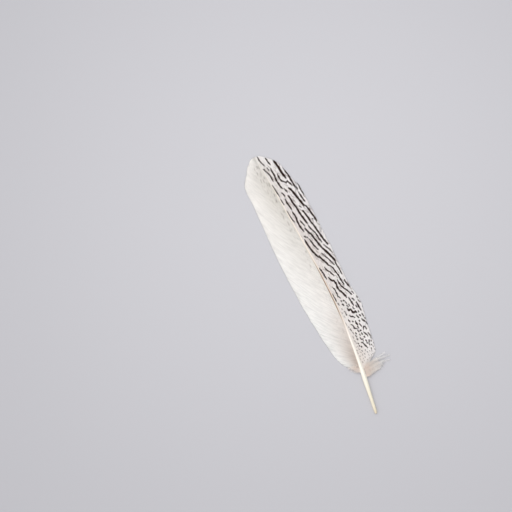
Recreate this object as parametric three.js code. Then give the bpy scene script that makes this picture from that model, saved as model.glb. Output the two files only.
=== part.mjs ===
// A pheasant tail feather lying on its underside. Millimetres, +Z up, +Y from the quill to the tip.
// The origin is under the middle of the feather, on the surface that it lies on.
import * as THREE from "three";

// ---- driving dimensions ----
const LENGTH = 220; // from the blunt end of the quill to the top of the vanes
const GAP = 0.3; // between the shaft and what grows on it

// Profiles along the feather: [distance from the blunt end, value].
// The line of the shaft, seen from above: it bows a little to the right.
const SHAFT_LINE = [[0, 1.2], [17, 2.8], [40, 4.9], [56, 5.9], [75, 6.6], [95, 6.4], [118, 5.2], [141, 3.1],
  [165, 0.8], [188, -1.4], [204, -3.3], [219, -5.2]];
// The height of the shaft's middle: the feather arches, with its quill and tip on the ground.
const SHAFT_HEIGHT = [[0, 1], [17, 1.52], [28, 1.9], [42, 2.6], [70, 4.5], [105, 5.9], [140, 5.7],
  [175, 4.1], [200, 2.2], [219, 0.6]];
const SHAFT_WIDTH = [[0, 1.5], [1.2, 2], [9, 2.5], [18, 3], [27, 3.7], [36, 3.1], [46, 2.4], [64, 1.75],
  [80, 1.65], [135, 1.25], [196, 0.65], [219, 0.3]];
const SHAFT_DEPTH = [[0, 1.5], [1.2, 2], [9, 2.5], [18, 3], [27, 3.7], [36, 3.3], [46, 2.8], [64, 2.3],
  [80, 2.1], [135, 1.5], [196, 0.7], [219, 0.3]];

// The free edge of each vane, seen from above, from the foot of the vane to the tip.
const OUTER_EDGE = [[36, 8.6], [37.4, 10.7], [40.4, 15.7], [43.5, 19.6], [49, 21.1], [63.7, 22.6], [77, 24.3],
  [84.7, 25.1], [95, 23.1], [110.3, 21.7], [134, 21.1], [157, 19.8], [174, 18.7], [185.7, 17.4], [192, 15.6],
  [199, 13.6], [207.5, 10.1], [211.8, 7], [214.8, 3.9], [218.4, -0.2], [219.7, -2.6]];
const INNER_EDGE = [[38, 1.4], [39.5, -2.2], [44.3, -7.2], [52, -10.4], [64, -13], [79, -15.5], [95, -17.6],
  [110, -19.1], [126, -20.2], [142, -20.8], [172, -21.3], [188, -21.4], [196, -22], [202.5, -21.5],
  [205.5, -20], [208.5, -17.8], [213, -14.5], [217, -11.6], [219.2, -9.6], [220, -8]];

const VANE_THICKNESS = { root: 0.8, edge: 0.5 };
const VANE_ROOT_LIFT = 0.15; // how far above the shaft's middle a vane grows, as a share of the shaft's depth
const VANE_CAMBER = 1.7; // 1 would be a straight slope down to the edge

// The tufts of down: a lens below the foot of each vane.
const OUTER_DOWN = { at: [12.4, 32.6], half: [6.4, 2.2, 1.4], turn: 8 };
const INNER_DOWN = { at: [-0.6, 35.9], half: [3.4, 1.6, 1.3], turn: 146 };

// How finely the curved surfaces are divided.
const SHAFT_RINGS = 56;
const SHAFT_HALF_SIDES = 6;
const VANE_RINGS = 42;
const VANE_COLUMNS = 8;

// ---- shaping ----

// A smooth function through a profile's points.
function through(profile) {
  const curve = new THREE.CubicInterpolant(profile.map((p) => p[0]), profile.map((p) => p[1]), 1, [0]);
  return (along) => curve.evaluate(along)[0];
}

const shaftX = through(SHAFT_LINE);
const shaftZ = through(SHAFT_HEIGHT);
const shaftWidth = through(SHAFT_WIDTH);
const shaftDepth = through(SHAFT_DEPTH);

// A closed solid through rings of equal count. Each ring runs over the top from left to right, and back
// underneath. The two ends are closed by joining each upper point to the lower point below it.
function closedLoft(rings) {
  const count = rings[0].length;
  const half = count / 2;
  const faces = [];
  const quad = (a, b, c, d) => faces.push(a, b, c, a, c, d);
  for (let i = 0; i + 1 < rings.length; i++) {
    for (let j = 0; j < count; j++) {
      const next = (j + 1) % count;
      const low = i * count;
      const high = low + count;
      quad(low + j, low + next, high + next, high + j);
    }
  }
  const last = (rings.length - 1) * count;
  for (let k = 0; k + 1 < half; k++) {
    const under = count - 1 - k;
    quad(last + k, last + k + 1, last + under - 1, last + under);
    quad(under, under - 1, k + 1, k);
  }
  const corners = rings.flat().flatMap((p) => p.toArray());
  const solid = new THREE.BufferGeometry();
  solid.setAttribute("position", new THREE.Float32BufferAttribute(corners, 3));
  solid.setIndex(faces);
  solid.computeVertexNormals();
  return solid;
}

// Stations along a stretch, closer together at both its ends, where the outlines turn fastest.
function stations(from, to, count) {
  return Array.from({ length: count }, (_, i) => {
    const share = 0.5 - 0.5 * Math.cos((Math.PI * i) / (count - 1));
    return THREE.MathUtils.lerp(from, to, share);
  });
}

// ---- the pieces ----

// The shaft: a round quill that narrows into the rachis, which is a little deeper than it is wide.
function shaft() {
  const end = SHAFT_LINE.at(-1)[0];
  const rings = stations(0, end, SHAFT_RINGS).map((y) => {
    const sides = 2 * SHAFT_HALF_SIDES;
    return Array.from({ length: sides }, (_, j) => {
      const angle = -Math.PI / 2 + (2 * Math.PI * (j + 0.5)) / sides;
      const x = shaftX(y) + (shaftWidth(y) / 2) * Math.sin(angle);
      const z = shaftZ(y) + (shaftDepth(y) / 2) * Math.cos(angle);
      return new THREE.Vector3(x, y, z);
    });
  });
  return closedLoft(rings);
}

// A vane: a thin web that leaves the side of the shaft and curves down until its free edge meets the ground.
// side is +1 for the outer vane, on the right, and -1 for the inner one.
function vane(edgeProfile, side) {
  const edgeX = through(edgeProfile);
  const [foot, tip] = [edgeProfile[0][0], edgeProfile.at(-1)[0]];
  const shaftEnd = SHAFT_LINE.at(-1)[0];
  const rings = stations(foot, tip, VANE_RINGS).map((y) => {
    const beside = Math.min(y, shaftEnd);
    const rootX = shaftX(beside) + side * (shaftWidth(beside) / 2 + GAP);
    const rootZ = shaftZ(beside) + VANE_ROOT_LIFT * shaftDepth(beside);
    const edgeZ = VANE_THICKNESS.edge / 2;
    const across = Array.from({ length: VANE_COLUMNS }, (_, k) => k / (VANE_COLUMNS - 1));
    const leftToRight = side > 0 ? across : across.toReversed();
    const web = leftToRight.map((t) => ({
      x: THREE.MathUtils.lerp(rootX, edgeX(y), t),
      z: THREE.MathUtils.lerp(rootZ, edgeZ, t ** VANE_CAMBER),
      half: THREE.MathUtils.lerp(VANE_THICKNESS.root, VANE_THICKNESS.edge, t) / 2,
    }));
    const above = web.map((p) => new THREE.Vector3(p.x, y, p.z + p.half));
    const below = web.map((p) => new THREE.Vector3(p.x, y, p.z - p.half));
    return [...above, ...below.toReversed()];
  });
  return closedLoft(rings);
}

// A tuft of down: a flat lens that rests on the ground beside the quill.
function down({ at, half, turn }) {
  const lens = new THREE.SphereGeometry(1, 14, 8);
  lens.scale(...half);
  lens.rotateZ(THREE.MathUtils.degToRad(turn));
  lens.translate(at[0], at[1], half[2]);
  return lens;
}

// ---- the materials ----
const HORN = new THREE.MeshStandardMaterial({ color: 0xe6dcc4, roughness: 0.42, metalness: 0 });
const WHITE_WEB = new THREE.MeshStandardMaterial({ color: 0xeeece8, roughness: 0.7, metalness: 0 });
const LINED_WEB = new THREE.MeshStandardMaterial({ color: 0xb9b3ac, roughness: 0.7, metalness: 0 });
const DOWN = new THREE.MeshStandardMaterial({ color: 0xdccbbd, roughness: 0.9, metalness: 0 });

// ---- the feather ----
const feather = new THREE.Group();

function add(name, geometry, material) {
  const mesh = new THREE.Mesh(geometry, material);
  mesh.name = name;
  feather.add(mesh);
}

add("shaft", shaft(), HORN);
add("inner_vane", vane(INNER_EDGE, -1), WHITE_WEB);
add("outer_vane", vane(OUTER_EDGE, 1), LINED_WEB);
add("inner_down", down(INNER_DOWN), DOWN);
add("outer_down", down(OUTER_DOWN), DOWN);

// The origin goes under the middle of the feather.
const extent = new THREE.Box3().setFromObject(feather);
const middle = extent.getCenter(new THREE.Vector3());
feather.position.set(-middle.x, -LENGTH / 2, -extent.min.z);

export default feather;
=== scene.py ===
import math

import bmesh
import bpy
import numpy as np
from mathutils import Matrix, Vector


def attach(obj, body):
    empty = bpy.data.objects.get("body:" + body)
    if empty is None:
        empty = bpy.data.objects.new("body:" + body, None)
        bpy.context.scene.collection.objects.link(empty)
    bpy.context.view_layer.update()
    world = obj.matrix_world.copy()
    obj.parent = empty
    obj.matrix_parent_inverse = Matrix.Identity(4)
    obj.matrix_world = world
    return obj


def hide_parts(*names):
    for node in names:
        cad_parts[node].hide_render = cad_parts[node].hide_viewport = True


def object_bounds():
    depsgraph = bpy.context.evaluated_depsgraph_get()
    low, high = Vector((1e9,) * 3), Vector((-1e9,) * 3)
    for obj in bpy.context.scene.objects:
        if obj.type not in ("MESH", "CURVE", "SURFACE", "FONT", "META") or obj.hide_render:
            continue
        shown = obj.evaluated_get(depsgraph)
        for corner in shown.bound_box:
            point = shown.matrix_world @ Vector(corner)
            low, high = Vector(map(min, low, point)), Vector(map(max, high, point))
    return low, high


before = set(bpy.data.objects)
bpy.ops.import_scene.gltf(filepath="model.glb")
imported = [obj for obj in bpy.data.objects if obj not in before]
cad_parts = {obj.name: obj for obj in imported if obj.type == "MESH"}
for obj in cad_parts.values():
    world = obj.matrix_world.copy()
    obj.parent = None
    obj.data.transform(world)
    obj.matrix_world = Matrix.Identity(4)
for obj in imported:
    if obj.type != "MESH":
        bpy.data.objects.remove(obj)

MM = 0.001
cad_low, cad_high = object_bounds()
blunt_end = cad_low.y  # distances along the feather are counted from here


# ==== The camera ====
# It looks straight down on the feather, from far enough off to flatten it. The feather lies low and right of
# the middle of the view, with its tip leaning to the left.
ground_in_view = 398 * MM
camera_height = 1.6
view_middle = (-36.7 * MM, 39.4 * MM)
tip_lean = math.radians(23.7)

camera_data = bpy.data.cameras.new("camera")
camera_data.lens = camera_data.sensor_width * camera_height / ground_in_view
camera = bpy.data.objects.new("camera", camera_data)
camera.location = (*view_middle, camera_height)
camera.rotation_euler = (0, 0, -tip_lean)
bpy.context.collection.objects.link(camera)
bpy.context.scene.camera = camera


# ==== The shaft ====
# One piece of horn: a hollow, rounded quill, yellowish at its blunt end, that narrows into the paler rachis.
# The rachis is squarer, with a groove along its underside, and brown painted shade at its sides by the barbs.
shaft_sides = 36
shaft_steps = 320
ring_gap = 0.05 * MM  # corners further apart than this are in different rings
side_gap = ring_gap / 5  # corners this near to a ring's outermost one are at its side too
cad_corner_cut = math.cos(math.pi / 12)  # the frame's shaft has twelve sides, which cut inside the round


def rings_of(node):
    """The rings of a node's solid, from foot to tip: y, left x and z, right x and z, lowest z, highest z."""
    points = np.array([v.co[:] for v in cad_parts[node].data.vertices])
    points = points[np.argsort(points[:, 1])]
    rings = []
    for ring in np.split(points, np.flatnonzero(np.diff(points[:, 1]) > ring_gap) + 1):
        x, y, z = ring.T
        left_end = z[x < x.min() + side_gap]
        right_end = z[x > x.max() - side_gap]
        rings.append((
            y.mean(),
            x.min(), (left_end.min() + left_end.max()) / 2,
            x.max(), (right_end.min() + right_end.max()) / 2,
            z.min(), z.max(),
        ))
    return np.array(rings).T


def through(stations, values):
    """A smooth curve through values at stations, flat-ended beyond them."""
    slope = np.gradient(values, stations)

    def curve(y):
        y = np.clip(y, stations[0], stations[-1])
        i = np.clip(np.searchsorted(stations, y) - 1, 0, len(stations) - 2)
        step = stations[i + 1] - stations[i]
        t = (y - stations[i]) / step
        start = values[i] * (1 + 2 * t) + slope[i] * step * t
        end = values[i + 1] * (3 - 2 * t) - slope[i + 1] * step * (1 - t)
        return start * (1 - t) ** 2 + end * t**2

    return curve


def profile(points):
    """A curve through (mm along the feather, value) points, read at a y in the frame."""
    along, values = np.array(points, float).T
    return lambda y: np.interp((y - blunt_end) / MM, along, values)


def blank_rod(sides, steps):
    """A straight closed rod, made once and then bent: the angle and step of each corner, and the faces."""
    rod = bmesh.new()
    bmesh.ops.create_cone(rod, cap_ends=True, segments=sides, radius1=1, radius2=1, depth=1)
    long_edges = [e for e in rod.edges if abs(e.verts[0].co.z - e.verts[1].co.z) > 0.5]
    bmesh.ops.subdivide_edges(rod, edges=long_edges, cuts=steps - 1)
    rod.verts.index_update()
    corners = np.array([v.co[:] for v in rod.verts])
    faces = [[v.index for v in f.verts] for f in rod.faces]
    rod.free()
    angle = np.arctan2(corners[:, 1], corners[:, 0])
    step = np.rint((corners[:, 2] + 0.5) * steps).astype(int)
    return angle, step, faces


def link(name, mesh, body, slot, *nodes):
    """Puts a piece in the scene, in place of the frame's nodes that it stands for."""
    piece = bpy.data.objects.new(name, mesh)
    bpy.context.collection.objects.link(piece)
    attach(piece, body)
    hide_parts(*nodes)


def store(mesh, **values):
    """Keeps a number for each corner of a mesh, for its material to read."""
    for name, numbers in values.items():
        layer = mesh.attributes.new(name, "FLOAT", "POINT")
        layer.data.foreach_set("value", np.ascontiguousarray(numbers, dtype=np.float32).ravel())


shaft_y, shaft_left, _, shaft_right, _, shaft_low, shaft_high = rings_of("shaft")
shaft_x = through(shaft_y, (shaft_left + shaft_right) / 2)
shaft_z = through(shaft_y, (shaft_low + shaft_high) / 2)
shaft_half_width = through(shaft_y, (shaft_right - shaft_left) / 2 / cad_corner_cut)
shaft_half_depth = through(shaft_y, (shaft_high - shaft_low) / 2)
squareness = profile([(30, 2.0), (60, 2.5), (200, 2.3), (219, 2.0)])  # 2 is round
groove_depth = profile([(36, 0.0), (50, 0.3), (180, 0.35), (215, 0.0)])  # a share of the shaft's half depth
groove_width = 0.5  # radians to each side
end_crowding = 0.08  # more of it puts the steps closer together at the two ends
# (share of the thickness, radians per mm along, waves round) of the horn's slight unevenness
knobbles = ((0.007, 1.1, 2), (0.004, 2.7, -1))
# (mm in, mm along) of each step at the blunt end: its rounded rim, then its small hole
rim_and_hole = ((0.25, -0.12), (0.2, 0.1), (0.08, 0.8))

angle, step, shaft_faces = blank_rod(shaft_sides, shaft_steps)
share = step / shaft_steps
y = shaft_y[0] + (shaft_y[-1] - shaft_y[0]) * (share - np.sin(2 * np.pi * share) * end_crowding)
power = 2 / squareness(y)
sine, cosine = np.sin(angle), np.cos(angle)
knobble = np.ones_like(y)
for size, along_wave, round_wave in knobbles:
    knobble += size * np.sin(y / MM * along_wave + round_wave * angle)
x = shaft_x(y) + shaft_half_width(y) * knobble * np.sign(sine) * np.abs(sine) ** power
z = shaft_z(y) + shaft_half_depth(y) * knobble * np.sign(cosine) * np.abs(cosine) ** power
below = np.exp(-(((np.abs(angle) - np.pi) / groove_width) ** 2))
z = np.maximum(z + shaft_half_depth(y) * groove_depth(y) * below, 0)

shaft_mesh = bpy.data.meshes.new("shaft_horn")
shaft_mesh.from_pydata(np.column_stack([x, y, z]).tolist(), [], shaft_faces)
shaft_work = bmesh.new()
shaft_work.from_mesh(shaft_mesh)
blunt_face = min(shaft_work.faces, key=lambda f: f.calc_center_median().y)
for inset, push in rim_and_hole:
    bmesh.ops.inset_region(shaft_work, faces=[blunt_face], thickness=inset * MM)
    bmesh.ops.translate(shaft_work, verts=blunt_face.verts, vec=(0, push * MM, 0))
for face in shaft_work.faces:
    face.smooth = True
shaft_work.to_mesh(shaft_mesh)
shaft_work.free()

corners = np.array([v.co[:] for v in shaft_mesh.vertices])
store(
    shaft_mesh,
    along=(corners[:, 1] - blunt_end) / MM,
    beside=(corners[:, 0] - shaft_x(corners[:, 1])) / shaft_half_width(corners[:, 1]),
)


def material(name, **settings):
    """A material with its shader's own values set, and its node tree."""
    made = bpy.data.materials.new(name)
    made.use_nodes = True
    shader = made.node_tree.nodes["Principled BSDF"]
    for socket, value in settings.items():
        shader.inputs[socket.replace("_", " ")].default_value = value
    return made, made.node_tree, shader


def node(tree, kind, inputs=(), **settings):
    """Adds a node. inputs pairs a socket's name or number with a value or with the socket that feeds it."""
    made = tree.nodes.new(kind)
    for key, value in settings.items():
        setattr(made, key, value)
    for socket, value in dict(inputs).items():
        if isinstance(value, bpy.types.NodeSocket):
            tree.links.new(value, made.inputs[socket])
        else:
            made.inputs[socket].default_value = value
    return made


def stored(tree, name):
    return node(tree, "ShaderNodeAttribute", attribute_name=name).outputs["Fac"]


def math_node(tree, operation, *values):
    return node(tree, "ShaderNodeMath", enumerate(values), operation=operation).outputs[0]


def ramp(tree, factor, stops):
    """A colour that changes with factor through (position, colour) stops."""
    made = node(tree, "ShaderNodeValToRGB", {0: factor})
    band = made.color_ramp
    while len(band.elements) < len(stops):
        band.elements.new(0.5)
    for element, (position, colour) in zip(band.elements, stops):
        element.position, element.color = position, (*colour, 1)
    return made.outputs["Color"]


def mask_between(tree, value, low, high):
    """0 below low and 1 above high, with a smooth slope between them."""
    inputs = {"Value": value, "From Min": low, "From Max": high}
    return node(tree, "ShaderNodeMapRange", inputs, interpolation_type="SMOOTHSTEP").outputs[0]


def mixed(tree, factor, first, second, blend="MIX"):
    """Two colours mixed by factor. Either may be a socket or three numbers."""
    made = node(tree, "ShaderNodeMix", data_type="RGBA", blend_type=blend)
    for socket, value in ((made.inputs[0], factor), (made.inputs[6], first), (made.inputs[7], second)):
        if isinstance(value, bpy.types.NodeSocket):
            tree.links.new(value, socket)
        else:
            socket.default_value = (*value, 1) if isinstance(value, tuple) else value
    return made.outputs[2]


def bumped(tree, shader, height, strength, distance):
    inputs = {"Height": height, "Strength": strength, "Distance": distance}
    bump = node(tree, "ShaderNodeBump", inputs)
    tree.links.new(bump.outputs["Normal"], shader.inputs["Normal"])


feather_length = (cad_high.y - cad_low.y) / MM
# Brown painted shade along the shaft's sides, where the barbs leave it, deepest on the inner vane's side.
shade_brown = (0.24, 0.14, 0.075)
shade_reach_left = (-0.25, 0.2)  # in the shaft's half widths, from its middle out to that side
shade_reach_right = (0.4, 0.9)
shade_comes = (60.0, 92.0)  # mm along the feather
shade_fades = (112.0, 135.0)
shade_lost = 0.6  # past where it fades
shade_on_right = 0.5  # as a share of the left side's
streak_scale = (3000.0, 60.0, 3000.0)  # per metre: fine across the horn and long along it
streak_strength = 0.22

horn, tree, shader = material("horn", Coat_Weight=0.12, Coat_Roughness=0.3)
along = stored(tree, "along")
horn_colour = ramp(tree, math_node(tree, "DIVIDE", along, feather_length), [
    (0.0, (0.74, 0.64, 0.46)),
    (0.03, (0.83, 0.76, 0.6)),
    (0.09, (0.88, 0.83, 0.68)),
    (0.16, (0.93, 0.9, 0.8)),
    (0.28, (0.93, 0.87, 0.8)),
    (0.36, (0.95, 0.87, 0.79)),
    (0.48, (0.9, 0.79, 0.69)),
    (0.6, (0.97, 0.89, 0.79)),
    (0.85, (0.97, 0.91, 0.83)),
    (1.0, (0.95, 0.92, 0.87)),
])
# Brown painted shade where the barbs leave its sides: more on the inner vane's side, strongest just below the
# middle.
left_shade = mask_between(tree, math_node(tree, "MULTIPLY", stored(tree, "beside"), -1.0), *shade_reach_left)
right_shade = mask_between(tree, stored(tree, "beside"), *shade_reach_right)
flank_shading = math_node(tree, "MAXIMUM", left_shade, math_node(tree, "MULTIPLY", right_shade, shade_on_right))
paler = math_node(tree, "MULTIPLY", mask_between(tree, along, *shade_fades), shade_lost)
stretch = mask_between(tree, along, *shade_comes)
stretch = math_node(tree, "MULTIPLY", stretch, math_node(tree, "SUBTRACT", 1.0, paler))
horn_colour = mixed(tree, math_node(tree, "MULTIPLY", flank_shading, stretch), horn_colour, shade_brown)
# Fine streaks along the horn.
place = node(tree, "ShaderNodeTexCoord").outputs["Object"]
drawn_out = node(tree, "ShaderNodeMapping", {"Vector": place, "Scale": streak_scale}).outputs[0]
streaks = node(tree, "ShaderNodeTexNoise", {"Vector": drawn_out, "Scale": 1.0, "Detail": 3.0}).outputs["Fac"]
horn_colour = mixed(tree, streak_strength, horn_colour, ramp(tree, streaks, [
    (0.3, (0.55, 0.5, 0.42)),
    (0.65, (1.0, 1.0, 1.0)),
]), "MULTIPLY")
tree.links.new(horn_colour, shader.inputs["Base Color"])
tree.links.new(mask_between(tree, streaks, -0.6, 2.2), shader.inputs["Roughness"])
bumped(tree, shader, streaks, strength=0.25, distance=0.1 * MM)

shaft_mesh.materials.append(horn)
link("shaft_horn", shaft_mesh, "root", "horn", "shaft")


# ==== The barbs of the two vanes ====
# Each vane is a web of some hundreds of barbs. A barb is a thin, ridged blade that leaves the side of the
# shaft, slants to the tip and sags to the ground. Its hooks hold it to the next barb, except at a few splits.
barb_pitch = 0.36 * MM  # from ridge to ridge, square to the barbs
barb_overlap = 1.3
barb_curl = 9  # degrees that a barb bends back to the tip over curl_length
curl_length = 30 * MM
least_lean = 3  # degrees from the shaft
below_foot = 1.3 * MM  # from the foot of the vane's solid down to the first barb's root
short_of_tip = 0.4 * MM  # no more barbs follow a root that is this near the shaft's tip
root_depth = 0.45  # how far out from the shaft's middle a barb starts, as a share of its half width
root_steps = 2.5  # how far back along its path that start is, in path steps
path_step = 0.25 * MM
longest_path = 60 * MM
foot_stretch = 20 * MM  # barbs that grow this near the foot are at least foot_barb long
foot_barb = 6 * MM
shortest_barb = 0.8 * MM
web_camber = 1.7
lowest_barb = 0.1 * MM  # the middle of a barb that lies on the ground

clump_odds = 1 / 9  # that a barb starts a new clump
clump_uneven = 0.22  # mm by which the clumps' lengths differ
barb_uneven = 0.1  # mm by which the barbs' lengths differ within a clump
even_below = 8 * MM  # shorter barbs differ less
clump_sideways = 0.05  # mm
clump_gather = 0.012 * MM  # how far each barb draws in to the next, towards its clump's middle
clump_rise = 0.1 * MM
split_closes = 3.5  # mm along the edge
long_wave, short_wave = 9.0, 4.1  # mm along the feather, per radian
short_wave_share = 0.6
wave_height = 0.12 * MM
barb_rise = 0.015  # mm

tip_taper = 0.02  # the last share of a barb's length, over which it narrows
tip_width = 0.4  # the share of its width that it keeps
least_width, most_width = 0.5, 1.8  # barb pitches
root_half_height, height_lost = 0.065, 0.035  # mm, at a barb's root and from there to its tip
barb_tilt = 0.015 * MM  # one side of each barb lies on the next barb
map_columns = 4
map_margin = 0.02
map_half_band = 0.42


def unit(vectors):
    return vectors / np.maximum(np.linalg.norm(vectors, axis=-1, keepdims=True), 1e-12)


def lay_barbs(node_name, side, lean, splits, steps, random):
    """Where each step of a vane's barbs lies before the web is parted and after, how far each is from the
    shaft to the edge, and the barbs' lengths. side is 1 to the right of the shaft and -1 to the left, lean is
    each barb's angle from the shaft by how far along it grows, and splits are the places along the free edge,
    in mm, where the web is parted, with how far."""
    ring_y, left_x, left_z, right_x, right_z, _, _ = rings_of(node_name)
    root_x, root_z, edge_x, edge_z = (
        (left_x, left_z, right_x, right_z) if side > 0 else (right_x, right_z, left_x, left_z)
    )
    root_x, root_z, edge_x, edge_z = (through(ring_y, v) for v in (root_x, root_z, edge_x, edge_z))

    roots = [ring_y[0] - below_foot]
    while roots[-1] < shaft_y[-1] - short_of_tip:
        roots.append(roots[-1] + barb_pitch / math.sin(math.radians(float(lean(roots[-1])))))
    roots = np.array(roots)
    count = len(roots)

    # Each path is followed in small steps until it leaves the vane's outline.
    travelled = np.arange(0, longest_path, path_step)
    heading = np.radians(lean(roots)[:, None] - barb_curl * travelled / curl_length)
    heading = np.maximum(heading, np.radians(least_lean))
    gone_out = np.cumsum(np.sin(heading), axis=1) - root_steps * np.sin(heading[:, :1])
    gone_up = np.cumsum(np.cos(heading), axis=1) - root_steps * np.cos(heading[:, :1])
    start_x = shaft_x(roots) + side * shaft_half_width(roots) * root_depth
    path_x = start_x[:, None] + side * gone_out * path_step
    path_y = roots[:, None] + gone_up * path_step
    reach = (path_x - root_x(path_y)) / (edge_x(path_y) - root_x(path_y))
    outside = ((reach > 1) & (travelled > foot_barb)) | (path_y > ring_y[-1])
    outside |= (reach > 1) & (roots > ring_y[0] + foot_stretch)[:, None]
    length = np.argmax(outside, axis=1) * path_step

    # Barbs cling together in clumps of a few, which end a little apart.
    clump = np.cumsum(random.random(count) < clump_odds)
    clumps = clump.max() + 1
    uneven = random.normal(0, clump_uneven, clumps)[clump] * MM
    clump_shift = random.normal(0, clump_sideways, clumps)[clump] * MM
    clump_lift = random.random(clumps)[clump] * clump_rise
    middles = np.array([np.flatnonzero(clump == c).mean() for c in range(clumps)])
    clump_shift -= (np.arange(count) - middles[clump]) * clump_gather
    uneven += random.normal(0, barb_uneven, count) * MM
    length = np.maximum(length + uneven * np.clip(length / even_below, 0, 1), shortest_barb)

    # The same number of steps along each barb.
    out = np.linspace(0, 1, steps + 1)
    spot = out * length[:, None] / path_step
    low = np.clip(spot.astype(int), 0, len(travelled) - 2)
    part = spot - low
    row = np.arange(count)[:, None]
    x = path_x[row, low] * (1 - part) + path_x[row, low + 1] * part
    y = path_y[row, low] * (1 - part) + path_y[row, low + 1] * part
    reach = np.clip((x - root_x(y)) / (edge_x(y) - root_x(y)), 0, 1)
    z = root_z(y) + (edge_z(y) - root_z(y)) * reach**web_camber
    still = np.stack([x, y, z], axis=-1)

    # Splits part the web near its edge, and the whole web is a little wavy.
    shift = clump_shift[:, None] * out**2.5
    for place_mm, width_mm in splits:
        from_split = (y[:, -1] - blunt_end) / MM - place_mm
        push = width_mm * MM * np.sign(from_split) * np.exp(-np.abs(from_split) / split_closes)
        shift = shift + push[:, None] * out**3
    sideways = unit(np.cross(unit(np.gradient(still, axis=1)), (0, 0, 1.0))) * -side
    wave = np.sin(y / MM / long_wave + side) + short_wave_share * np.sin(y / MM / short_wave + 2 * side)
    lift = clump_lift[:, None] * out**2 + wave_height * (0.2 + wave) * reach**3
    lift = lift + random.normal(0, barb_rise, count)[:, None] * MM
    moved = still + sideways * shift[..., None]
    moved[..., 2] = np.maximum(moved[..., 2] + lift, lowest_barb)
    return still, moved, reach, length


def web_mesh(name, still, moved, blank):
    """The barbs' joined mesh, made from one blank, with where each corner was in the unparted web and the way
    that its barb runs there."""
    angle, step, faces = blank
    heading = unit(np.gradient(still, axis=1))
    to_next = np.gradient(still, axis=0)
    facing = np.cross(heading, to_next)
    facing = unit(facing * np.sign(facing[..., 2:]))
    pitch = np.linalg.norm(np.cross(heading, to_next), axis=-1)
    out = np.linspace(0, 1, still.shape[1])
    point = np.clip((1 - out) / tip_taper, tip_width, 1)
    pitch = np.clip(pitch, least_width * barb_pitch, most_width * barb_pitch)
    half_width = pitch / 2 * barb_overlap * point
    half_height = np.broadcast_to((root_half_height - height_lost * out) * MM * point, half_width.shape)

    flat = unit(np.cross(unit(np.gradient(moved, axis=1)), facing))
    up = facing[:, step] * (half_height[:, step] * np.cos(angle) + barb_tilt * np.sin(angle))[..., None]
    across = flat[:, step] * (half_width[:, step] * np.sin(angle))[..., None]
    corners = moved[:, step] + up + across
    count = len(still)
    offsets = np.arange(count)[:, None, None] * len(angle)
    all_faces = (np.array(faces) + offsets).reshape(-1, 4)
    mesh = bpy.data.meshes.new(name)
    mesh.from_pydata(corners.reshape(-1, 3), [], all_faces)
    mesh.polygons.foreach_set("use_smooth", np.ones(len(all_faces), bool))

    # The map has a band for each barb, in a few columns.
    map_rows = math.ceil(count / map_columns)
    number = np.arange(count)[:, None]
    along_band = map_margin + (1 - 2 * map_margin) * out[step][None]
    across_band = 0.5 + map_half_band * np.sin(angle)[None]
    u = (number % map_columns + along_band) / map_columns
    v = (number // map_columns + across_band) / map_rows
    uv_layer = mesh.uv_layers.new(name="OFBake")
    corner_of_loop = np.empty(len(mesh.loops), int)
    mesh.loops.foreach_get("vertex_index", corner_of_loop)
    uv = np.column_stack([u.ravel(), v.ravel()])[corner_of_loop]
    uv_layer.data.foreach_set("uv", uv.astype(np.float32).ravel())
    return mesh, still[:, step] + across, heading[:, step]


unmarked = -9.0  # mm inside a mark, for a place that is near none
end_taper = 0.3  # the share of its width that a mark loses at its ends
taper_length = 2  # mm
swell = 0.14  # the share of its width by which a mark swells and thins
swell_wave = 1.6  # radians per mm


def marked(places, marks):
    """How far inside the nearest mark each place is, in mm, and that mark's tone. A place is (mm along, mm
    out from the shaft), and a mark is (width, tone, points)."""
    inside = np.full(places.shape[:-1], unmarked)
    tone_at = np.zeros(places.shape[:-1])
    for width, tone, points in marks:
        points = np.array(points, float)
        run = np.concatenate([[0], np.cumsum(np.linalg.norm(np.diff(points, axis=0), axis=1))])
        for i, (start, end) in enumerate(zip(points, points[1:])):
            leg = end - start
            t = np.clip(((places - start) @ leg) / max(leg @ leg, 1e-9), 0, 1)
            far = np.linalg.norm(places - start - t[..., None] * leg, axis=-1)
            gone = run[i] + t * (run[i + 1] - run[i])
            to_end = np.minimum(gone, run[-1] - gone)
            kept = 1 - end_taper + end_taper * np.clip(to_end / taper_length, 0, 1)
            swollen = 1 + swell * np.sin(swell_wave * gone + run[-1])
            depth = width / 2 * kept * swollen - far
            tone_at = np.where(depth > inside, tone, tone_at)
            inside = np.maximum(inside, depth)
    return inside, tone_at


barb_sides = 4
mark_ragged = 0.55  # mm along a barb by which its stretch of a mark may be out of line
# (mm to each side, radians per mm along, radians per mm out) of the marks' slight waver
mark_wander = ((0.09, 0.85, 0.5), (0.06, 1.9, -0.9))


def finish_web(name, node_name, slot, made_of, side, lean, splits, steps, marks, seed):
    """Grows one vane, marks it and puts it in the scene."""
    random = np.random.default_rng(seed)
    still, moved, reach, length = lay_barbs(node_name, side, lean, splits, steps, random)
    blank = blank_rod(barb_sides, steps)
    mesh, places, heading = web_mesh(name, still, moved, blank)
    angle, step, _ = blank
    own = random.random(len(still))[:, None]
    places = places + heading * ((own - 0.5) * mark_ragged * MM)[..., None]
    along = (places[..., 1] - blunt_end) / MM
    out = side * (places[..., 0] - shaft_x(places[..., 1])) / MM
    for size, along_wave, out_wave in mark_wander:
        out += size * np.sin(along_wave * along + out_wave * out)
    inside, tone = marked(np.stack([along, out], axis=-1), marks)
    whole = np.ones_like(inside)
    store(
        mesh,
        inside=inside,
        tone=tone,
        row=whole * np.arange(len(still))[:, None],
        ridge=whole * np.cos(angle)[None],
        reach=reach[:, step],
        along=along,
        gone=whole * (length[:, None] / MM) * (step / steps)[None],
    )
    mesh.materials.append(made_of)
    link(name, mesh, "root", slot, node_name)


# Painted shade on the barbs: darker at their sides, in the groove to the next barb and over fine barbules,
# with paler painted light along streaks of a few barbs.
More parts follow.
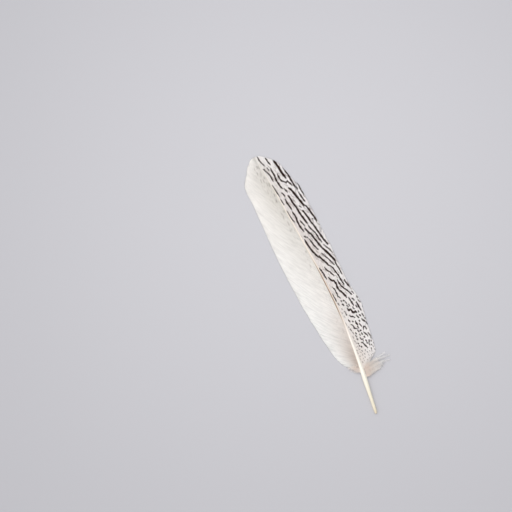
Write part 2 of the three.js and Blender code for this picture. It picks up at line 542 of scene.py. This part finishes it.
barbules_per_mm = 9.0
barbule_slant = 0.9  # barbule pitches, from a barb's ridge to its side
ridge_slope = (-0.15, 0.55)  # 1 is the ridge of a barb, and 0 its side
streaks_per_barb, streaks_per_mm = 0.45, 0.11
streak_slope = (0.3, 0.66)
darkest_shade = 0.84
ridge_shade, streak_shade, barbule_shade = 0.06, 0.15, 0.012
barbule_height = 0.2  # as a share of the ridge's


def barb_shade_and_bump():
    """What both webs' surfaces share: painted shade in the groove between two barbs and over fine barbules,
    and paler streaks along a few barbs together, painted light and shade of barbs that lie in clumps. Shade
    multiplies the colour, and Height is for a bump."""
    group = bpy.data.node_groups.new("barb shade and bump", "ShaderNodeTree")
    for label in ("Ridge", "Gone", "Row"):
        group.interface.new_socket(label, in_out="INPUT", socket_type="NodeSocketFloat")
    group.interface.new_socket("Shade", in_out="OUTPUT", socket_type="NodeSocketColor")
    group.interface.new_socket("Height", in_out="OUTPUT", socket_type="NodeSocketFloat")
    given = node(group, "NodeGroupInput").outputs
    slant = math_node(group, "MULTIPLY", given["Gone"], barbules_per_mm)
    slant = math_node(group, "MULTIPLY_ADD", given["Ridge"], barbule_slant, slant)
    barbules = math_node(group, "SINE", math_node(group, "MULTIPLY", slant, math.tau))
    ridge = mask_between(group, given["Ridge"], *ridge_slope)
    across = math_node(group, "MULTIPLY", given["Row"], streaks_per_barb)
    onward = math_node(group, "MULTIPLY", given["Gone"], streaks_per_mm)
    vector = node(group, "ShaderNodeCombineXYZ", {0: across, 1: onward}).outputs[0]
    drift = node(group, "ShaderNodeTexNoise", {"Vector": vector, "Scale": 1.0, "Detail": 3.0}).outputs["Fac"]
    streak = mask_between(group, drift, *streak_slope)
    level = math_node(group, "MULTIPLY_ADD", ridge, ridge_shade, darkest_shade)
    level = math_node(group, "MULTIPLY_ADD", streak, streak_shade, level)
    level = math_node(group, "MULTIPLY_ADD", barbules, barbule_shade, level)
    shade = node(group, "ShaderNodeCombineColor", {0: level, 1: level, 2: level}).outputs[0]
    height = math_node(group, "MULTIPLY_ADD", barbules, barbule_height, ridge)
    node(group, "NodeGroupOutput", {"Shade": shade, "Height": height})
    return group


barb_surface = barb_shade_and_bump()
tip_turn = (60.0, 230.0)  # mm along, between which the ground turns to its colour at the tip
shaft_turn = (-0.1, 1.1)  # shares of the way out, between which the colour at the shaft turns to the ground
cloud_scale, cloud_strength = 55.0, 0.25
cloud_colour = (0.95, 0.93, 0.9)
fringe_spread = 0.1  # mm by which the clouds shift a mark's edge
mark_edge = (-0.04, 0.1)  # mm inside a mark, between which its colour comes
dark_from = (0.3, 0.9)  # the tones between which a faint mark turns dark


def web_material(name, ground, by_shaft, to_tip, faint, dark):
    """A web's material: its ground colour, the (mm along, colour) stops beside the shaft, the colour that the
    ground turns to at the tip, and the colours of its faint and its dark marks."""
    made, tree, shader = material(name, Roughness=0.65, Specular_IOR_Level=0.25)
    surface = node(tree, "ShaderNodeGroup", node_tree=barb_surface)
    for socket, layer in (("Ridge", "ridge"), ("Gone", "gone"), ("Row", "row")):
        tree.links.new(stored(tree, layer), surface.inputs[socket])
    along = stored(tree, "along")
    stops = [(at / feather_length, rgb) for at, rgb in by_shaft]
    root_colour = ramp(tree, math_node(tree, "DIVIDE", along, feather_length), stops)
    edge_colour = mixed(tree, mask_between(tree, along, *tip_turn), ground, to_tip)
    colour = mixed(tree, mask_between(tree, stored(tree, "reach"), *shaft_turn), root_colour, edge_colour)
    place = node(tree, "ShaderNodeTexCoord").outputs["Object"]
    clouds = node(tree, "ShaderNodeTexNoise", {"Vector": place, "Scale": cloud_scale, "Detail": 3.0})
    clouds = clouds.outputs["Fac"]
    cloudy = math_node(tree, "MULTIPLY", clouds, cloud_strength)
    colour = mixed(tree, cloudy, colour, cloud_colour, "MULTIPLY")
    # The barbs' painted light and shade multiplies the colour.
    colour = mixed(tree, 1.0, colour, surface.outputs["Shade"], "MULTIPLY")
    fringe = math_node(tree, "MULTIPLY_ADD", clouds, fringe_spread, stored(tree, "inside"))
    mark = math_node(tree, "MULTIPLY", mask_between(tree, fringe, *mark_edge), stored(tree, "tone"))
    pigment = mixed(tree, mask_between(tree, stored(tree, "tone"), *dark_from), faint, dark)
    colour = mixed(tree, mark, colour, pigment)
    tree.links.new(colour, shader.inputs["Base Color"])
    bumped(tree, shader, surface.outputs["Height"], strength=0.35, distance=0.06 * MM)
    return made


# ==== The white inner vane ====
# The wider web, of barbs that grow out of the shaft's left side. It is white but for faint grey flecks beside
# the shaft, where the markings of the other web fade out.
inner_lean = profile([(36, 60), (52, 50), (80, 43), (130, 39), (170, 35), (195, 28), (208, 20), (219, 10)])
inner_splits = [(118, 0.06)]
# (mm out from the shaft, strength) of the rows of flecks
fleck_rows = [(1.0, 0.6), (2.1, 0.9), (3.2, 0.6), (4.6, 0.75), (6.2, 0.3)]
fleck_low, fleck_high = 62.0, 213.0  # mm along the feather
fleck_fading = ((62, 120, 160), (0.3, 0.4, 1))  # mm along, and the share of their strength that they have
fleck_length = (1.4, 4.2)
fleck_width = (0.45, 0.65)
faintest_fleck = 0.3
fleck_bias = 1.4  # above 1, more of the flecks are faint
fleck_gap = (0.8, 4.0)
fleck_stray = 0.4
fleck_drift = 0.2  # how far a fleck moves out on its way down

random = np.random.default_rng(7)
flecks = []
for out, strength in fleck_rows:
    along = fleck_high
    while along > fleck_low:
        run = random.uniform(*fleck_length)
        shade = strength * random.uniform(faintest_fleck, 1) ** fleck_bias * np.interp(along, *fleck_fading)
        start = out + random.normal(0, fleck_stray)
        end = start + fleck_drift * run
        flecks.append((random.uniform(*fleck_width), shade, [(along, start), (along - run, end)]))
        along -= run + random.uniform(*fleck_gap)

white_web = web_material(
    "white web", ground=(0.93, 0.92, 0.89), to_tip=(0.96, 0.925, 0.88),
    by_shaft=[(44, (0.53, 0.44, 0.38)), (62, (0.68, 0.61, 0.56)), (90, (0.85, 0.81, 0.77)),
              (150, (0.74, 0.71, 0.665)), (190, (0.67, 0.635, 0.58)), (215, (0.72, 0.69, 0.65))],
    faint=(0.26, 0.2, 0.16), dark=(0.12, 0.09, 0.07),
)
finish_web("inner_vane_barbs", "inner_vane", "white_web", white_web, side=-1, lean=inner_lean,
           splits=inner_splits, steps=50, marks=flecks, seed=21)


# ==== The lined outer vane ====
# The narrower web, of barbs that grow out of the shaft's right side. Its dark brown lines run almost with the
# shaft and drift out to the edge on their way down. Towards the foot they break into dashes and small dots.
outer_lean = profile([(34, 60), (50, 52), (80, 46), (130, 40), (170, 35), (195, 28), (208, 20), (219, 10)])
outer_splits = [(189.5, 0.5), (149, 0.3), (90, -0.5)]

# (width, points), the points as mm along the feather and mm out from the shaft
lines = [
    (0.5, [(219.5, 1.9), (217, 1.8), (214.3, 2.2), (210.5, 3.2)]),
    (0.7, [(216, 6.7), (213, 7), (209.5, 7.4)]),
    (1.5, [(212.2, 11.3), (209.3, 11.8), (205.3, 12.1), (198.7, 12.2), (195.7, 12.7)]),
    (1.0, [(204, 15.1), (201.3, 15.2), (198, 15.6), (188, 15.6), (184.2, 16.3)]),
    (0.5, [(189.7, 18.2), (186, 18.4), (178, 18.4)]),
    (0.8, [(201.2, 8.5), (197.3, 8.3), (194.7, 8.8), (192.2, 11.1), (193, 12.6), (191, 13.3), (188.3, 14)]),
    (0.9, [(206.8, 6.3), (204.7, 5.9), (201.3, 6), (196.3, 5.3), (192.7, 5.5), (189, 6.1)]),
    (0.6, [(208.5, 4), (206, 4.4)]),
    (0.6, [(209, 1.2), (206.5, 1.7), (203.5, 2.6), (200.5, 3.1), (197, 2.8)]),
    (0.5, [(194.5, 0.6), (189.5, 0.7), (184.5, 1.3)]),
    (0.8, [(188.7, 7.5), (185, 8)]),
    (1.4, [(187.7, 10.8), (185.3, 11.7), (182.3, 12.4), (176.3, 13.3), (173.3, 14), (170.3, 14.5)]),
    (0.8, [(186.3, 3.9), (184.5, 4.7), (183, 5.1)]),
    (0.5, [(182, 0.6), (177, 1.2)]),
    (0.9, [(180.5, 3.8), (176.7, 3.9), (171.3, 4.5)]),
    (0.9, [(169.5, 4.1), (164, 4.5), (160, 3.7), (156.7, 3.7), (152, 4.4)]),
    (1.1, [(182.2, 7.5), (176.3, 7.8), (172.3, 8.4), (163.3, 8.9), (159.3, 9.5), (156.5, 10)]),
    (0.8, [(181.5, 15.7), (178.7, 16.1), (173, 16.5)]),
    (1.1, [(169.7, 15.8), (166.3, 16.3), (162.3, 16.8), (159, 17.2), (155.5, 17.3)]),
    (1.0, [(167.3, 11.6), (164.7, 12.2), (156.7, 13), (152.3, 13.8), (142.3, 14.7), (135.5, 15.8)]),
    (0.5, [(172, 0.5), (166.5, 0.7), (163.7, 1.2), (161, 1.6)]),
    (0.6, [(161, 6.2), (158.7, 6.4), (155.7, 7.1)]),
    (1.1, [(153.7, 6.5), (151, 6.9), (148.7, 7.7), (148, 8.4), (142, 9.3), (138.7, 9.8), (134.3, 10.7)]),
    (1.4, [(134.3, 10.7), (131.7, 11.7), (126.7, 13.5), (122.7, 14.6), (121, 14.6)]),
    (0.6, [(121, 14.6), (119.3, 14.3), (116.7, 14.3), (113.3, 14.6), (109.5, 14.7)]),
    (0.7, [(155, 9.6), (151.7, 10.3), (148, 11.7), (143, 12.2), (138.7, 12.5)]),
    (0.8, [(144.8, 5.1), (142, 5.7), (139.3, 6), (134.7, 7.2)]),
    (1.0, [(145.7, 1.7), (137.5, 2.3), (134.3, 3), (132, 3.8), (130, 4), (129, 4.6), (129.3, 5.5),
           (127.3, 5.8), (123.3, 7.7), (120.7, 8.3), (119.3, 9.5)]),
    (0.7, [(119.3, 9.5), (117, 10.5), (110.7, 11.5), (102, 12.3)]),
    (0.5, [(131, 8.3), (127.3, 9.6), (123, 11.4), (118.8, 12.8)]),
    (0.4, [(136.8, 12.9), (134, 14), (131.3, 15), (128, 16)]),
    (0.7, [(120, 4.8), (118, 5.2), (115, 7.1), (111, 8.4)]),
    (0.7, [(121, 1.1), (118.3, 1.6), (114, 1.8), (111.2, 2.4)]),
    (1.0, [(111.5, 4.1), (109.7, 4.7), (108, 5.5), (107.8, 6.6), (104, 7), (101.7, 6.7), (99, 7.1),
           (95.7, 8.8), (93, 9.7), (91.7, 9.8)]),
    (0.7, [(107, 9.3), (103, 9.5), (100.7, 10.3), (96.7, 12.7), (92.2, 14.2)]),
    (0.8, [(105, 14.3), (103, 14.5), (98.3, 15.5)]),
    (0.5, [(103.5, 3.3), (101.5, 4), (95, 4.2), (93.3, 5.2)]),
    (0.4, [(98.5, 1.1), (92, 1.3)]),
    (0.8, [(91, 11.2), (88.3, 11.4), (84, 12.2)]),
    (0.8, [(85.5, 15.2), (83.5, 15.6), (80.5, 15.8), (78, 16.1)]),
    (1.0, [(84, 6.6), (81.9, 7.2), (82.2, 8.6), (78.9, 9.8), (78.7, 10.6), (79.4, 11.6), (77.8, 12.2)]),
    (0.7, [(78.3, 6), (76.8, 7.2), (76.2, 8.5), (74.8, 9.3)]),
    (0.9, [(72.3, 8.7), (70, 8.8), (68.5, 9.2)]),
    (0.8, [(71.8, 13.8), (70.3, 14.7), (68.5, 15.6)]),
    (0.5, [(71.3, 4.5), (69.3, 5.8), (67.5, 5.6), (66.7, 6.8), (65.8, 7.9)]),
    (0.5, [(63.5, 12.1), (65, 12.4), (65.7, 13.3), (65, 14.2), (63.2, 14.5)]),
    (0.6, [(61.8, 11.6), (59.3, 13), (57.5, 13.4)]),
    (0.6, [(59, 7.2), (57.5, 7.9), (57.1, 9)]),
    (0.6, [(55.2, 6.8), (54.7, 7.8), (52.3, 8.6), (49.3, 10.1)]),
]
# (width, length, mm along, mm out) of the single dabs between them
dabs = [
    (1.0, 1.2, 147.7, 3.3), (0.7, 1, 146.5, 4.6), (0.6, 1.8, 170.8, 11.5), (0.5, 1, 158.3, 15.2),
    (0.6, 2, 93.6, 15.6), (0.8, 2.2, 88.6, 13.8), (0.7, 1.8, 88.8, 17.4), (0.5, 2.6, 85.2, 17.8),
    (0.9, 1.6, 87.6, 5), (0.9, 0.8, 90.5, 6.7), (0.5, 1.8, 89.5, 2), (0.6, 1, 90.8, 4.8),
    (0.6, 1.6, 85.5, 9.2), (0.5, 2, 88, 7.6), (0.7, 1.2, 79.8, 4.2), (0.9, 2.6, 74.7, 11.7),
    (0.9, 1.2, 74.7, 13.8), (0.7, 2.4, 74, 16.1), (0.7, 1, 78, 13.8), (0.7, 2, 74.3, 4.4),
    (0.6, 1, 72.8, 6.7), (0.7, 1, 71, 11.6), (0.8, 2.4, 67.8, 11.3), (0.4, 2, 67.3, 2.8),
    (0.9, 0.8, 63.8, 9.7), (0.8, 1, 63.3, 5.5), (0.6, 1, 61, 7.9), (0.8, 1.2, 61.1, 9.9),
    (0.5, 1.2, 59.3, 14.7), (0.6, 1, 58.6, 4.9), (0.7, 1, 58.2, 10.7), (0.7, 1, 55, 11),
    (0.5, 1, 55.4, 4.4), (0.7, 1.4, 52.8, 11.2), (0.6, 1.6, 53.7, 13.3), (0.7, 0.8, 52, 5.8),
    (0.4, 1, 53.3, 4.6), (0.4, 1, 51, 12.3), (0.4, 1, 50.3, 13.8), (0.4, 1.2, 47.6, 12.6),
]
bleed = 0.42  # how much wider the colour spreads in the barbules than the middle of each line
dab_slant = 0.3  # how far a dab moves out on its way down


def dab(width, tone, run, slant, along, out):
    """A short straight mark with its middle at a place, slanting outwards on its way down."""
    ends = [(along + run / 2, out - slant * run / 2), (along - run / 2, out + slant * run / 2)]
    return width, tone, ends


marks = [(width + bleed, 1.0, points) for width, points in lines]
marks += [dab(width + bleed, 1.0, run, dab_slant, along, out) for width, run, along, out in dabs]


bold_out = (2, 6)  # mm out from the shaft, between which the strewn dabs grow bold
bold_along = (43, 53)  # mm along the feather, the same
shortest_dab = 0.6  # a share of the longest
faintest_dab = 0.8  # a share of the darkest
slant_stray = 0.14


def strewn(random, rows, columns, spread, longest, widths, tones, clearance):
    """Dabs strewn in rows and columns, kept clear of the marks made so far. They slant outwards on their way
    down, and are narrower and fainter beside the shaft and at the foot."""
    places = [(along, out) for along in rows for out in columns + random.uniform(0, columns[1] - columns[0])]
    places = np.array(places) + random.normal(0, spread, (len(places), 2))
    made = []
    for along, out in places[marked(places, marks)[0] < -clearance]:
        bold = np.interp(out, bold_out, (0, 1)) * np.interp(along, bold_along, (0, 1))
        run = random.uniform(shortest_dab, 1) * longest
        slant = random.normal(dab_slant, slant_stray)
        width = widths[0] + (widths[1] - widths[0]) * bold
        tone = min(1, (tones[0] + (tones[1] - tones[0]) * bold) * random.uniform(faintest_dab, 1))
        made.append(dab(width, tone, run, slant, along, out))
    return made


random = np.random.default_rng(11)
marks += strewn(
    random, rows=np.arange(91, 57, -3.0), columns=np.arange(1.4, 19, 2.5), spread=0.3, longest=2.1,
    widths=(0.8, 1.2), tones=(0.6, 1.1), clearance=0.85,
)
marks += strewn(
    random, rows=np.arange(58, 41, -2.4), columns=np.arange(1.4, 19, 2.1), spread=0.3, longest=1.3,
    widths=(0.6, 0.85), tones=(0.6, 1.0), clearance=0.7,
)
marks += strewn(
    random, rows=np.arange(209, 96, -4.0), columns=np.arange(0.6, 19, 2.2), spread=0.8, longest=3.4,
    widths=(0.5, 0.65), tones=(0.35, 0.6), clearance=0.5,
)

lined_web = web_material(
    "lined web", ground=(0.97, 0.935, 0.92), to_tip=(0.9, 0.87, 0.86),
    by_shaft=[(44, (0.8, 0.73, 0.68)), (75, (0.84, 0.79, 0.76)), (150, (0.74, 0.68, 0.65)),
              (205, (0.77, 0.73, 0.7))],
    faint=(0.2, 0.13, 0.09), dark=(0.03, 0.012, 0.007),
)
finish_web("outer_vane_barbs", "outer_vane", "lined_web", lined_web, side=1, lean=outer_lean,
           splits=outer_splits, steps=72, marks=marks, seed=22)


# ==== The down ====
# A tuft of loose, limp barbs on each side at the foot of the vanes. Their long soft barbules don't hook
# together, so each barb is a separate fluffy strand that lies where it falls.
thread_sides = 3
thread_end = 0.35  # a thread's thickness at its end, as a share of that at its foot
thread_flatness = 0.6

strand_steps = 14
strand_thickness = (0.2, 0.34)  # mm
least_strand = 0.45  # a share of the longest that grows there
strand_stray = 9  # degrees
strand_root = 0.8  # how far out from the shaft's middle it starts, as a share of the shaft's half width
start_height = (-0.3, 0.9)  # mm above the shaft's middle
rest_height = (0.3, 2.4)  # mm above the ground
strand_rise = 0.6 * MM
strand_blank = blank_rod(thread_sides, strand_steps)

barbule_steps = 4
barbule_thickness = 0.1 * MM
barbule_pitch = 0.24 * MM
barbule_stretch = (0.04, 0.99)  # the part of each strand that bears barbules
barbule_stray = 0.006
longest_barbule, barbule_lost = 2.3, 1.2  # mm, at a strand's foot and from there to its end
barbule_uneven = (0.5, 1.2)
barbule_splay = (35, 70)  # degrees from the strand
barbule_droop = 0.35
barbule_curl = (-0.1, 0.7)
lowest_barbule = 0.05 * MM
barbule_blank = blank_rod(thread_sides, barbule_steps)


def threads(blank, spines, thickness):
    """The corners and faces of thin flat-topped threads along spines [thread, step, xyz], which taper."""
    angle, step, faces = blank
    heading = unit(np.gradient(spines, axis=1))
    level = unit(np.cross(heading, (0.0, 0.0, 1.0)))
    upward = np.cross(level, heading)
    half = thickness[:, None] / 2 * np.linspace(1, thread_end, spines.shape[1])[None]
    keel = np.where(np.abs(angle) < 0.1, -1.0, 0.15)  # one edge of the three hangs below the other two
    aside = np.where(np.abs(angle) < 0.1, 0.0, np.sign(angle))
    round_about = upward[:, step] * keel[:, None] * thread_flatness + level[:, step] * aside[:, None]
    corners = spines[:, step] + round_about * half[:, step, None]
    return corners, faces


def joined(name, parts):
    """One mesh of many threads."""
    points, polygons, start = [], [], 0
    for corners, faces in parts:
        count = corners.shape[1]
        points.append(corners.reshape(-1, 3))
        for i in range(len(corners)):
            polygons.extend([corner + start + i * count for corner in face] for face in faces)
        start += corners.shape[0] * count
    points = np.concatenate(points)
    mesh = bpy.data.meshes.new(name)
    mesh.from_pydata(points.tolist(), [], polygons)
    store(mesh, out=np.abs(points[:, 0] - shaft_x(points[:, 1])) / MM)
    return mesh


def tuft(name, node_name, made_of, side, count, span, longest, turn, seed):
    """Strands that leave the shaft over span (mm along), with their barbules. longest is the strands' length
    by how far along they grow, and turn the angles from the shaft that they start at and bend to."""
    random = np.random.default_rng(seed)
    grown = np.sort(random.uniform(*span, count))
    length = np.interp(grown, *zip(*longest)) * random.uniform(least_strand, 1, count) * MM
    y0 = blunt_end + grown * MM
    steps = np.linspace(0, 1, strand_steps + 1)
    stray = random.normal(0, strand_stray, count)[:, None]
    bend = np.radians(np.linspace(*turn, strand_steps + 1)[None] + stray * steps)
    stride = (length / strand_steps)[:, None]
    gone_out = np.cumsum(np.sin(bend), axis=1) - np.sin(bend[:, :1])
    gone_up = np.cumsum(np.cos(bend), axis=1) - np.cos(bend[:, :1])
    start_x = shaft_x(y0) + side * shaft_half_width(y0) * strand_root
    x = start_x[:, None] + side * gone_out * stride
    y = y0[:, None] + gone_up * stride
    start_z = shaft_z(y0)[:, None] + random.uniform(*start_height, count)[:, None] * MM
    rest_z = random.uniform(*rest_height, count)[:, None] * MM
    rise = strand_rise * np.sin(np.pi * steps) * random.random((count, 1))
    z = start_z + (rest_z - start_z) * steps**0.8 + rise
    spines = np.stack([x, y, z], axis=-1)

    # Barbules on both sides of each strand, longest in its lower half.
    barbules = []
    for spine, reach in zip(spines, length):
        slope = np.gradient(spine, axis=0)
        many = int(reach / barbule_pitch)
        for way in (-1, 1):
            at = np.linspace(*barbule_stretch, many) + random.normal(0, barbule_stray, many)
            at = np.clip(at, 0, 1)
            base = np.stack([np.interp(at, steps, spine[:, k]) for k in range(3)], axis=-1)
            ahead = unit(np.stack([np.interp(at, steps, slope[:, k]) for k in range(3)], axis=-1))
            level = unit(np.cross(ahead, (0.0, 0.0, 1.0))) * way
            own = (longest_barbule - barbule_lost * at) * random.uniform(*barbule_uneven, many) * MM
            splay = np.radians(random.uniform(*barbule_splay, many))[:, None]
            droop = random.normal(0, barbule_droop, many)[:, None]
            away = ahead * np.cos(splay) + level * np.sin(splay) + np.array([0, 0, 1.0]) * droop
            s = np.linspace(0, 1, barbule_steps + 1)[None, :, None]
            curl = (ahead * random.uniform(*barbule_curl, (many, 1)))[:, None]
            barbules.append(base[:, None] + (away[:, None] * s + curl * s**2) * own[:, None, None])
    barbules = np.concatenate(barbules)
    barbules[..., 2] = np.maximum(barbules[..., 2], lowest_barbule)
    mesh = joined(name, [
        threads(strand_blank, spines, random.uniform(*strand_thickness, count) * MM),
        threads(barbule_blank, barbules, np.full(len(barbules), barbule_thickness)),
    ])
    mesh.materials.append(made_of)
    link(name, mesh, "root", "down", node_name)


# It is pinkish tan near the shaft and nearly white at its ends.
patch_scale = 260.0
patch_shift = 12.0  # mm by which the patches move the change of colour
white_by = 26.0  # mm out from the shaft

down, tree, shader = material("down", Roughness=0.85, Specular_IOR_Level=0.2)
place = node(tree, "ShaderNodeTexCoord").outputs["Object"]
patches = node(tree, "ShaderNodeTexNoise", {"Vector": place, "Scale": patch_scale, "Detail": 2.0})
spot = math_node(tree, "MULTIPLY_ADD", patches.outputs["Fac"], patch_shift, stored(tree, "out"))
tree.links.new(ramp(tree, math_node(tree, "DIVIDE", spot, white_by), [
    (0.15, (0.98, 0.83, 0.73)),
    (0.5, (0.98, 0.9, 0.83)),
    (0.9, (0.97, 0.95, 0.93)),
]), shader.inputs["Base Color"])

tuft("outer_down_strands", "outer_down", down, side=1, count=26, span=(29, 36.5),
     longest=[(28, 15), (31, 19.5), (35, 24), (37, 23)], turn=(72, 92), seed=31)
tuft("inner_down_strands", "inner_down", down, side=-1, count=16, span=(33, 38.5),
     longest=[(33, 6), (36, 10), (39, 9)], turn=(45, 72), seed=32)


# ==== The studio ====
# A plain pale grey floor under a soft light close above it, a wide soft window light, and an even light from
# all round.
floor_reach = 6.0
floor_grey = (0.505, 0.5, 0.522)
sky_white = (0.97, 0.97, 1.0)
sky_strength = 0.6

floor_mesh = bpy.data.meshes.new("floor")
floor_work = bmesh.new()
bmesh.ops.create_grid(floor_work, x_segments=1, y_segments=1, size=floor_reach)
floor_work.to_mesh(floor_mesh)
floor_work.free()
floor = bpy.data.objects.new("floor", floor_mesh)
bpy.context.collection.objects.link(floor)
pale, tree, shader = material("pale floor", Roughness=0.9, Base_Color=(*floor_grey, 1))
floor_mesh.materials.append(pale)

for name, kind, energy, spot in (
    ("overhead", "AREA", 0.82, (0.03, 0.1, 0.42)),
    ("window", "SUN", 1.1, (-0.36, 0.28, 0.8)),
):
    lamp = bpy.data.lights.new(name, kind)
    lamp.energy = energy
    holder = bpy.data.objects.new(name, lamp)
    holder.location = spot
    holder.rotation_euler = (-holder.location).to_track_quat("-Z", "Y").to_euler()
    bpy.context.collection.objects.link(holder)
bpy.data.lights["overhead"].size = 0.3
bpy.data.lights["window"].angle = math.radians(80)

world = bpy.data.worlds.new("studio")
world.use_nodes = True
world.node_tree.nodes["Background"].inputs["Color"].default_value = (*sky_white, 1)
world.node_tree.nodes["Background"].inputs["Strength"].default_value = sky_strength
bpy.context.scene.world = world
bpy.context.scene.view_settings.view_transform = "Standard"
